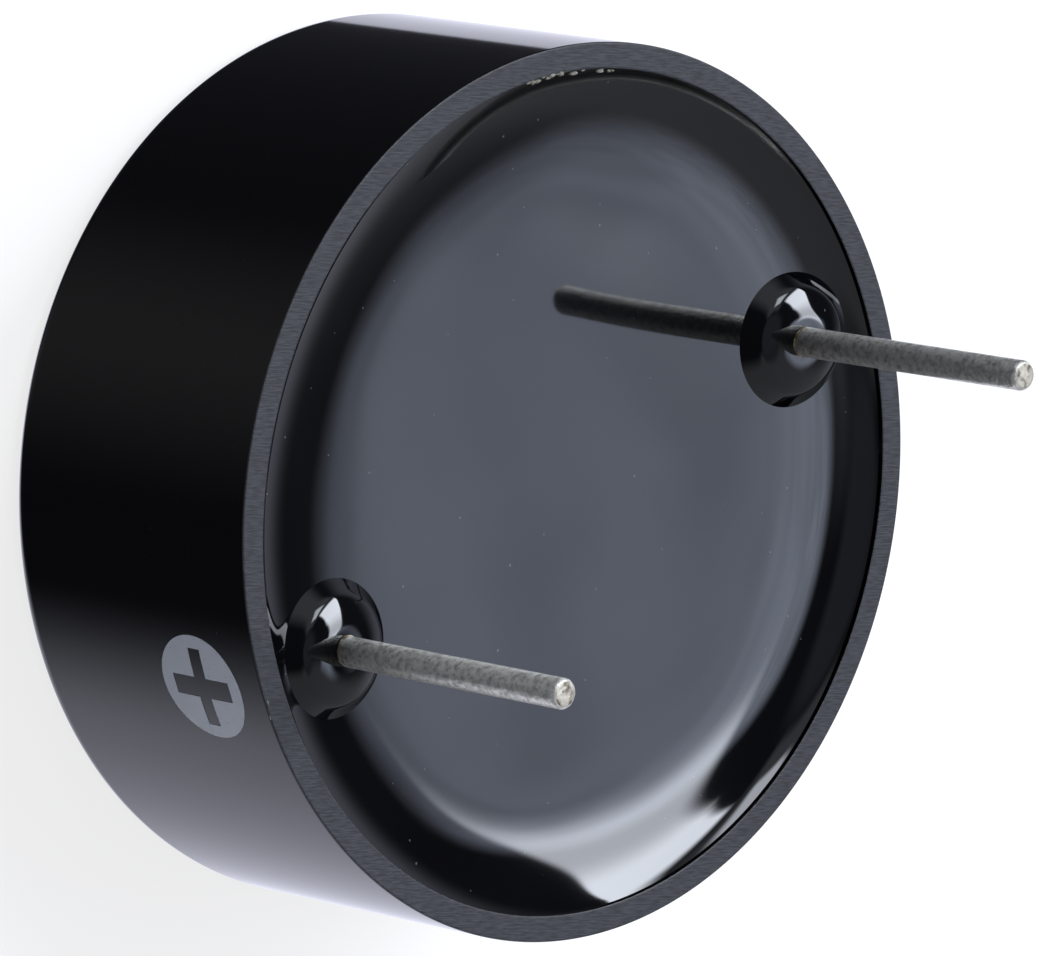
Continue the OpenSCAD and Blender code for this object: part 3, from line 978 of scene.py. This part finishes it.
@dataclass(frozen=True)
class Panel:
    """A soft-edged bright panel on the wall of the room, painted into the world.

    Each row of four is where the panel starts, is full, starts to fall off and ends: its
    bearings round the part and its rises over the floor, in degrees. A slant lets the top edge
    sink by that many degrees per degree from the panel's middle back to its start. A bow lets
    the bottom edge sink on both sides of a bearing, by so many degrees per squared degree. A
    cloud makes the panel's light weaker and stronger by that share, in soft patches that are
    smaller the larger its scale. A panel with a level below zero is a black card: it takes away
    from the light of those before it.
    """

    name: str
    bearings: Edges
    rises: Edges
    level: float
    colour: str = "#ffffff"
    slant: float = 0.0
    bow: Span = (0.0, 0.0)
    cloud: float = 0.0
    cloud_scale: float = 60.0

    def window(
        self, tree: bpy.types.NodeTree, near: bpy.types.NodeSocket, far: bpy.types.NodeSocket,
        edges: Edges,
    ) -> bpy.types.NodeSocket:
        """Give 1 between the middle two angles and 0 outside the outer two.

        Args:
            tree: the world's node tree.
            near: the angle of a direction, in radians, for the first two edges.
            far: the same for the last two edges.
            edges: the four angles in degrees.

        Returns:
            An output from 0 to 1.
        """
        start, full, fall, end = (math.radians(edge) for edge in edges)
        sides = [
            add_node(
                tree, "ShaderNodeMapRange", {"Value": angle, "From Min": low, "From Max": high},
                interpolation_type="SMOOTHSTEP",
            ).outputs["Result"]
            for angle, low, high in ((near, start, full), (far, end, fall))
        ]
        return add_node(
            tree, "ShaderNodeMath", {0: sides[0], 1: sides[1]}, operation="MULTIPLY"
        ).outputs["Value"]

    def paint(
        self, tree: bpy.types.NodeTree, way: bpy.types.NodeSocket, under: bpy.types.NodeSocket
    ) -> bpy.types.NodeSocket:
        """Add the panel's light to the light of the panels before it.

        Args:
            tree: the world's node tree.
            way: the direction looked in.
            under: the light so far.

        Returns:
            The light with this panel's added.
        """
        middle = (self.bearings[0] + self.bearings[3]) / 2
        turned = add_node(
            tree, "ShaderNodeVectorRotate", {"Vector": way, "Angle": math.radians(-middle)},
            rotation_type="Z_AXIS",
        ).outputs["Vector"]
        parts = add_node(tree, "ShaderNodeSeparateXYZ", {"Vector": turned}).outputs
        round_it = add_node(
            tree, "ShaderNodeMath", {0: parts["Y"], 1: parts["X"]}, operation="ARCTAN2"
        ).outputs["Value"]
        rise = add_node(
            tree, "ShaderNodeMath", {0: parts["Z"]}, operation="ARCSINE"
        ).outputs["Value"]
        across = self.window(tree, round_it, round_it, tuple(b - middle for b in self.bearings))
        top = rise
        if self.slant:
            back = add_node(
                tree, "ShaderNodeMath", {0: round_it, 1: 0.0}, operation="MINIMUM"
            ).outputs["Value"]
            top = add_node(
                tree, "ShaderNodeMath", {0: back, 1: -self.slant, 2: rise},
                operation="MULTIPLY_ADD",
            ).outputs["Value"]
        foot = rise
        if self.bow[1]:
            off = add_node(
                tree, "ShaderNodeMath", {0: round_it, 1: math.radians(self.bow[0] - middle)},
                operation="SUBTRACT",
            ).outputs["Value"]
            square = add_node(
                tree, "ShaderNodeMath", {0: off, 1: off}, operation="MULTIPLY"
            ).outputs["Value"]
            foot = add_node(
                tree, "ShaderNodeMath", {0: square, 1: math.degrees(self.bow[1]), 2: rise},
                operation="MULTIPLY_ADD",
            ).outputs["Value"]
        up = self.window(tree, foot, top, self.rises)
        share = add_node(
            tree, "ShaderNodeMath", {0: across, 1: up}, operation="MULTIPLY"
        ).outputs["Value"]
        if self.cloud:
            haze = add_node(
                tree, "ShaderNodeTexNoise",
                {"Vector": way, "Scale": self.cloud_scale, "Detail": 1.0},
            ).outputs["Fac"]
            thin = add_node(
                tree, "ShaderNodeMapRange",
                {
                    "Value": haze, "From Min": 0.3, "From Max": 0.7,
                    "To Min": 1 - self.cloud, "To Max": 1 + self.cloud,
                },
            ).outputs["Result"]
            share = add_node(
                tree, "ShaderNodeMath", {0: share, 1: thin}, operation="MULTIPLY"
            ).outputs["Value"]
        light = [self.level * part for part in srgb(self.colour)[:3]]
        return add_node(
            tree, "ShaderNodeVectorMath", {0: light, 1: share, 2: under}, operation="MULTIPLY_ADD"
        ).outputs["Vector"]


@dataclass
class Studio:
    """Pale floor, a room of soft panels and the photograph's camera.

    The floor's size is in metres, and the eye, the lens and the sensor are in millimetres. Right
    and up are the ways of the picture's width and height.
    """

    floor_size: float = 4.0
    floor_colour: str = "#a0a0a0"
    floor_lift: float = 0.78
    room_level: float = 0.05
    room_colour: str = "#e6e8ff"
    lens: float = 340.303
    sensor: float = 36.0
    eye: Place = (147.9777, -102.1054, 192.9078)
    right: Place = (-0.680728, 0.260879, 0.684509)
    up: Place = (-0.457392, -0.881267, -0.118998)
    panels: tuple[Panel, ...] = (
        Panel(
            "softbox", (146, 151.5, 204, 213), (47.2, 48, 58.5, 60.5), 8.0, "#eef4ff",
            slant=0.25, bow=(166, 0.0096),
        ),
        Panel(
            "softbox_core", (158, 186, 204, 213), (47.2, 48, 58.5, 60.5), 7.0, "#eef4ff",
            slant=0.2, bow=(166, 0.0096),
        ),
        Panel("side_panel", (218, 226, 240, 250), (40, 45, 60, 63), 7.0, "#eef4ff"),
        Panel(
            "slate_panel", (126, 147, 150, 156), (40.3, 48.8, 55, 61), 3.0, "#d8e3fb", cloud=0.13
        ),
        Panel("near_room", (10, 40, 125, 150), (-4, -1, 62, 75), 0.42, "#eef0fa"),
        Panel("far_room", (208, 222, 262, 290), (20, 30, 66, 72), 0.6, "#eef0fa"),
        Panel("sill", (125, 140, 200, 222), (-4, -1, 10, 32), 0.45, "#e6ebff"),
        Panel("ceiling", (-190, -185, 185, 190), (68, 76, 91, 92), 0.2, "#e6ebff"),
        Panel("under_white", (-190, -185, 185, 190), (-92, -91, -10, -4), 1.16, "#eceeff"),
        Panel("under_black", (179.6, 180.4, 372, 414), (-92, -91, -18, -10), -1.16, "#eceeff"),
        Panel("under_sheen", (262, 306, 306, 350), (-92, -91, -18, -10), 0.14),
    )

    def lay_floor(self) -> None:
        """Add the floor: pale, lit by the panels, and clear to reflections.

        Glossy rays go through it to the room's lower half, which is as pale as the floor and
        has a black card on the camera's side.
        """
        deselect_all()
        bpy.ops.mesh.primitive_plane_add(size=self.floor_size)
        floor = named("studio_floor")
        material = bpy.data.materials.new("pale_floor")
        material.use_nodes = True
        tree = material.node_tree
        tree.nodes.clear()
        path = add_node(tree, "ShaderNodeLightPath").outputs
        seen = add_node(
            tree, "ShaderNodeMath", {0: path["Is Camera Ray"], 1: path["Is Transmission Ray"]},
            operation="MAXIMUM",
        ).outputs["Value"]
        lift = add_node(
            tree, "ShaderNodeMath", {0: seen, 1: self.floor_lift}, operation="MULTIPLY"
        ).outputs["Value"]
        paint = add_node(tree, "ShaderNodeBsdfDiffuse", {"Color": srgb(self.floor_colour)})
        glow = add_node(tree, "ShaderNodeEmission", {"Strength": lift})
        pale = add_node(
            tree, "ShaderNodeAddShader", {0: paint.outputs["BSDF"], 1: glow.outputs["Emission"]}
        )
        clear = add_node(tree, "ShaderNodeBsdfTransparent")
        both = add_node(
            tree, "ShaderNodeMixShader",
            {0: path["Is Glossy Ray"], 1: pale.outputs["Shader"], 2: clear.outputs["BSDF"]},
        )
        add_node(tree, "ShaderNodeOutputMaterial", {"Surface": both.outputs["Shader"]})
        floor.data.materials.append(material)

    def light(self) -> None:
        """Paint the panels into the world, which lights the part and is white for the camera."""
        world = bpy.data.worlds.new("studio")
        bpy.context.scene.world = world
        world.use_nodes = True
        tree = world.node_tree
        tree.nodes.clear()
        way = add_node(tree, "ShaderNodeTexCoord").outputs["Generated"]
        dim = [self.room_level * part for part in srgb(self.room_colour)[:3]]
        light = add_node(tree, "ShaderNodeCombineXYZ", dict(zip("XYZ", dim))).outputs["Vector"]
        for panel in self.panels:
            light = panel.paint(tree, way, light)
            log.info("panel %s", panel.name)
        camera = add_node(tree, "ShaderNodeLightPath").outputs["Is Camera Ray"]
        seen = add_node(
            tree, "ShaderNodeMix",
            {"Factor": camera, MIX_FIRST: light, MIX_SECOND: srgb("#ffffff")}, data_type="RGBA",
        )
        glow = add_node(tree, "ShaderNodeBackground", {"Color": seen.outputs[MIXED]})
        add_node(tree, "ShaderNodeOutputWorld", {"Surface": glow.outputs["Background"]})

    def place_camera(self) -> None:
        """Stand the camera where the photograph was taken from."""
        data = bpy.data.cameras.new("camera")
        data.lens = self.lens
        data.sensor_width = self.sensor
        data.sensor_fit = "HORIZONTAL"
        data.clip_start = 0.01
        data.clip_end = 10.0
        camera = bpy.data.objects.new("camera", data)
        bpy.context.scene.collection.objects.link(camera)
        right, up = Vector(self.right), Vector(self.up)
        camera.location = Vector(self.eye) * MM
        camera.rotation_euler = Matrix((right, up, right.cross(up))).transposed().to_euler()
        bpy.context.scene.camera = camera


def main() -> None:
    """Set up the studio, build the pieces in order, dress the sealed ones and note the sizes."""
    studio = Studio()
    studio.place_camera()
    studio.lay_floor()
    studio.light()
    pieces = [Case().build(), Potting().build()]
    pieces += Pin("pin_wire_positive", "pin_positive", 8.75).build()
    pieces += Pin("pin_wire_negative", "pin_negative", -8.75).build()
    pieces += [PolarityMark().build(), Flecks().build()]
    nicks = Flecks(
        "edge_nicks", bearing=0.5, spread=6.5, count=5, ring=11.71, z=8.985, size=(0.018, 0.034)
    )
    pieces.append(nicks.build())
    for piece in pieces:
        log.info("%s: %d points", piece.name, len(piece.data.vertices))
    log.info("%d sealed pieces dressed", Circuit().dress())
    bpy.context.scene.view_settings.view_transform = "Standard"


if __name__ == "__main__":
    main()
